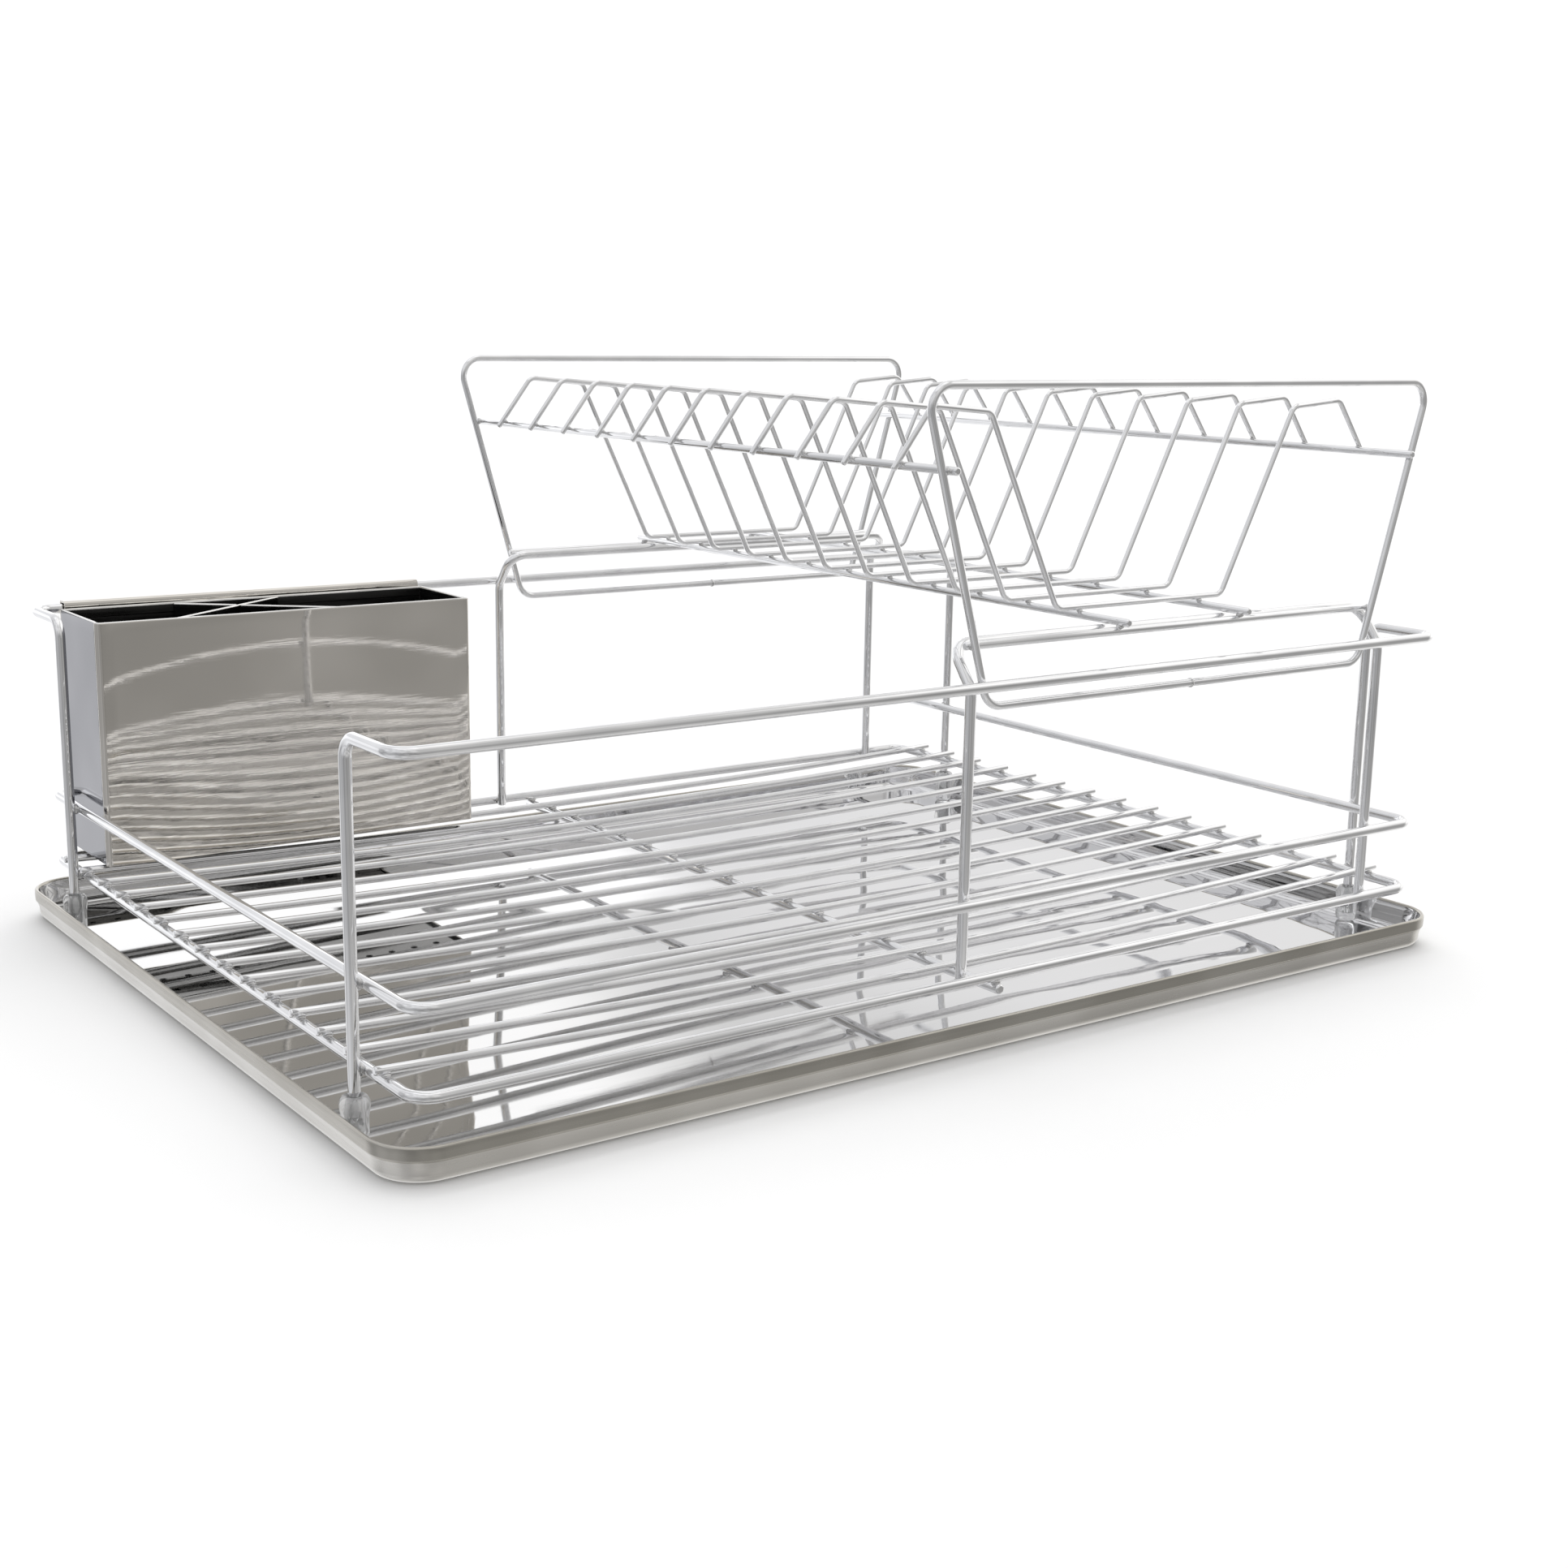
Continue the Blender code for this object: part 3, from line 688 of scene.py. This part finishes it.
def box_dividers():
    """Crossed partitions with rolled top edges, slotted into each other where they cross."""
    low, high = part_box("cutlery_divider_a")
    low_b, high_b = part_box("cutlery_divider_b")
    line_a = (Vector((low.x, low.y, 0)), Vector((high.x, high.y, 0)))
    line_b = (Vector((low_b.x, high_b.y, 0)), Vector((high_b.x, low_b.y, 0)))
    crossing = intersect_line_line_2d(*(end.xy for end in line_a + line_b)).to_3d()
    half = (low.z + high.z) / 2
    for node, (start, end), slot_up in (("cutlery_divider_a", line_a, False),
                                        ("cutlery_divider_b", line_b, True)):
        mesh = bmesh.new()
        along = (end - start).normalized()
        length = (end - start).length
        before = (crossing - start).dot(along) - SLOT_HALF
        behind = before + 2 * SLOT_HALF
        for first, last in ((0.0, before), (behind, length)):
            strip(mesh, start, along, first, last, low.z, high.z, rolled=True)
        if slot_up:
            strip(mesh, start, along, before, behind, low.z, half, rolled=False)
        else:
            strip(mesh, start, along, before, behind, half, high.z, rolled=True)
        bmesh.ops.remove_doubles(mesh, verts=mesh.verts, dist=0.00001)
        bmesh.ops.recalc_face_normals(mesh, faces=mesh.faces)
        # The partitions take the dark inside metal, painted shade.
        piece = new_piece("fine_" + node, mesh, [BOX_IN_PAINTED_SHADE, BOX_EDGE_PAINTED_HIGHLIGHT], "cutlery_box",
                          [node])
        piece.data.set_sharp_from_angle(angle=math.radians(50))
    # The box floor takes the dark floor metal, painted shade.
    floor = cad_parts["cutlery_box_floor"]
    floor.data.materials.clear()
    floor.data.materials.append(BOX_FLOOR_PAINTED_SHADE)


def strip(mesh, start, along, first, last, foot, top, rolled):
    """A length of upright sheet between two distances from its start."""
    across = Vector((-along.y, along.x, 0))
    thick = SHEET / 2
    shoulder = top - 2.2 * ROLL_R
    section = [(thick, foot), (thick, shoulder)]
    if rolled:
        for step in range(9):
            angle = math.radians(-20 + 220 * step / 8)
            section.append((ROLL_R * math.cos(angle), top - ROLL_R + ROLL_R * math.sin(angle)))
    else:
        section += [(thick, top), (-thick, top)]
    section += [(-thick, shoulder), (-thick, foot)]
    ends = [[mesh.verts.new(start + along * at + across * side + Vector((0, 0, up)))
             for side, up in section] for at in (first, last)]
    faces = prism(mesh, *ends)
    for face, (_, height), (_, after) in zip(faces, section, section[1:] + section[:1]):
        high_up = min(height, after) > shoulder - 0.1 * ROLL_R
        # The rolled top takes the lighter edge metal, a painted highlight.
        face.material_index = 1 if rolled and high_up else 0


# ---------------------------------------------------------------- studio

# The way the camera looks along the floor, and the way to its right.
FAR = Vector((0.5842, 0.8116, 0.0))
ASIDE = Vector((0.8116, -0.5842, 0.0))
UP = Vector((0.0, 0.0, 1.0))


def studio_light():
    """A soft room: white ahead, with a low pane on the left and a high one on the right, pale
    overhead, and greyer on the near side."""
    world = bpy.data.worlds.new("studio")
    bpy.context.scene.world = world
    world.use_nodes = True
    tree = world.node_tree
    background = tree.nodes["Background"]
    coords = add_node(tree, "ShaderNodeTexCoord")

    def along(direction):
        dot = add_node(tree, "ShaderNodeVectorMath", operation="DOT_PRODUCT")
        dot.inputs[1].default_value = direction
        tree.links.new(coords.outputs["Generated"], dot.inputs[0])
        return dot.outputs["Value"]

    def combine(operation, *values):
        total = values[0]
        for value in values[1:]:
            math_node = add_node(tree, "ShaderNodeMath", operation=operation)
            for socket, term in zip(math_node.inputs, (total, value)):
                if isinstance(term, float):
                    socket.default_value = term
                else:
                    tree.links.new(term, socket)
            total = math_node.outputs["Value"]
        return total

    def ramp(value, low, high, out_low, out_high):
        return spread(tree, value, low, high, out_low, out_high)

    up, far, aside = along(UP), along(FAR), along(ASIDE)
    ahead = ramp(far, 0.08, 0.60, 0.0, 1.0)
    sky = ramp(up, -0.10, 0.70, 0.36, 0.74)
    ground = ramp(up, -0.75, -0.30, 0.28, 0.0)
    cool = ramp(aside, -0.9, 0.2, 0.12, 0.0)
    cloud = add_node(tree, "ShaderNodeTexNoise")
    cloud.inputs["Scale"].default_value = 2.6
    cloud.inputs["Detail"].default_value = 1.5
    tree.links.new(coords.outputs["Generated"], cloud.inputs["Vector"])
    patches = ramp(cloud.outputs["Fac"], 0.35, 0.62, 0.80, 1.10)
    near = combine("MULTIPLY", combine("ADD", sky, ground, cool), patches)
    backdrop = ramp(up, -0.50, -0.10, 1.0, 0.90)
    horizon = combine("MULTIPLY", ramp(up, -0.16, -0.04, 0.0, 0.30), ramp(up, 0.17, 0.22, 1.0, 0.0))
    left_pane = combine("MULTIPLY", ramp(along(ASIDE - 1.2 * UP), -0.48, -0.39, 0.60, 0.0),
                        ramp(up, 0.38, 0.50, 1.0, 0.0), ramp(up, 0.19, 0.23, 0.0, 1.0),
                        ramp(aside, -0.62, -0.36, 0.0, 1.0))
    right_pane = combine("MULTIPLY", ramp(up, 0.12, 0.45, 0.0, 0.38),
                         ramp(up, 0.70, 0.82, 1.0, 0.0), ramp(aside, 0.25, 0.45, 0.0, 1.0),
                         ramp(far, -0.20, 0.05, 0.0, 1.0))
    roof = ramp(up, 0.84, 0.94, 0.0, 0.35)
    lit = combine("MULTIPLY", ahead, combine("ADD", backdrop, horizon, left_pane))
    shaded = combine("MULTIPLY", near, combine("SUBTRACT", 1.0, ahead))
    level = combine("ADD", shaded, lit, right_pane, roof)
    tone = blend_colours(tree, ramp(aside, -0.7, 0.7, 0.0, 1.0),
                         (0.985, 0.99, 1.01), (1.005, 0.997, 0.985))
    tree.links.new(tone, background.inputs["Color"])
    tree.links.new(level, background.inputs["Strength"])
    soft_lamp("far_light", 46, FAR, 0.98)
    soft_lamp("top_light", 88, FAR, 0.58)


LAMP_SPREAD = 60


def soft_lamp(name, elevation, toward, strength):
    """A wide soft lamp, elevation in degrees, that stays out of the metal's reflections."""
    data = bpy.data.lights.new(name, "SUN")
    data.angle = math.radians(LAMP_SPREAD)
    data.energy = strength
    rise = math.radians(elevation)
    source = toward * math.cos(rise) + UP * math.sin(rise)
    lamp = bpy.data.objects.new(name, data)
    lamp.rotation_euler = source.to_track_quat("Z", "Y").to_euler()
    lamp.visible_glossy = False
    bpy.context.scene.collection.objects.link(lamp)


FLOOR_HALF = 30.0
# Just under the tray, so that the two don't share a plane.
FLOOR_Z = -0.0001


def studio_floor():
    """A pale floor that the metal doesn't mirror."""
    mesh = bmesh.new()
    mesh.faces.new([mesh.verts.new((x * FLOOR_HALF, y * FLOOR_HALF, FLOOR_Z))
                    for x, y in ((-1, -1), (1, -1), (1, 1), (-1, 1))])
    data = bpy.data.meshes.new("studio_floor")
    mesh.to_mesh(data)
    mesh.free()
    shade = bpy.data.materials.new("studio_floor")
    shade.use_nodes = True
    shader = shade.node_tree.nodes["Principled BSDF"]
    shader.inputs["Base Color"].default_value = (0.83, 0.83, 0.828, 1.0)
    shader.inputs["Roughness"].default_value = 0.9
    shader.inputs["Specular IOR Level"].default_value = 0.0
    data.materials.append(shade)
    floor = bpy.data.objects.new("studio_floor", data)
    floor.visible_glossy = False
    bpy.context.scene.collection.objects.link(floor)


EYE = Vector((-0.47906, -0.70389, 0.25003))
EYE_ANGLES = (-35.747, 12.490, 0.982)


def camera():
    """The viewpoint: low, from the front left; its angles are yaw, pitch and roll in degrees."""
    data = bpy.data.cameras.new("studio_camera")
    data.lens = 48.65
    data.sensor_width = 36.0
    data.clip_end = 100.0
    yaw, pitch, roll = (math.radians(angle) for angle in EYE_ANGLES)
    back = Vector((math.sin(yaw) * math.cos(pitch), -math.cos(yaw) * math.cos(pitch),
                   math.sin(pitch)))
    right = UP.cross(back).normalized()
    up = back.cross(right)
    axis_x = right * math.cos(roll) + up * math.sin(roll)
    axis_y = up * math.cos(roll) - right * math.sin(roll)
    pose = Matrix((axis_x, axis_y, back)).transposed().to_4x4()
    pose.translation = EYE
    eye = bpy.data.objects.new("studio_camera", data)
    eye.matrix_world = pose
    bpy.context.scene.collection.objects.link(eye)
    bpy.context.scene.camera = eye


loops()
post_wires()
arches()
floor_wires()
rack_wires()
basket_welds()
rack_welds()
tray()
caps()
box_body()
box_dividers()
studio_light()
studio_floor()
camera()
bpy.context.scene.view_settings.view_transform = "Standard"
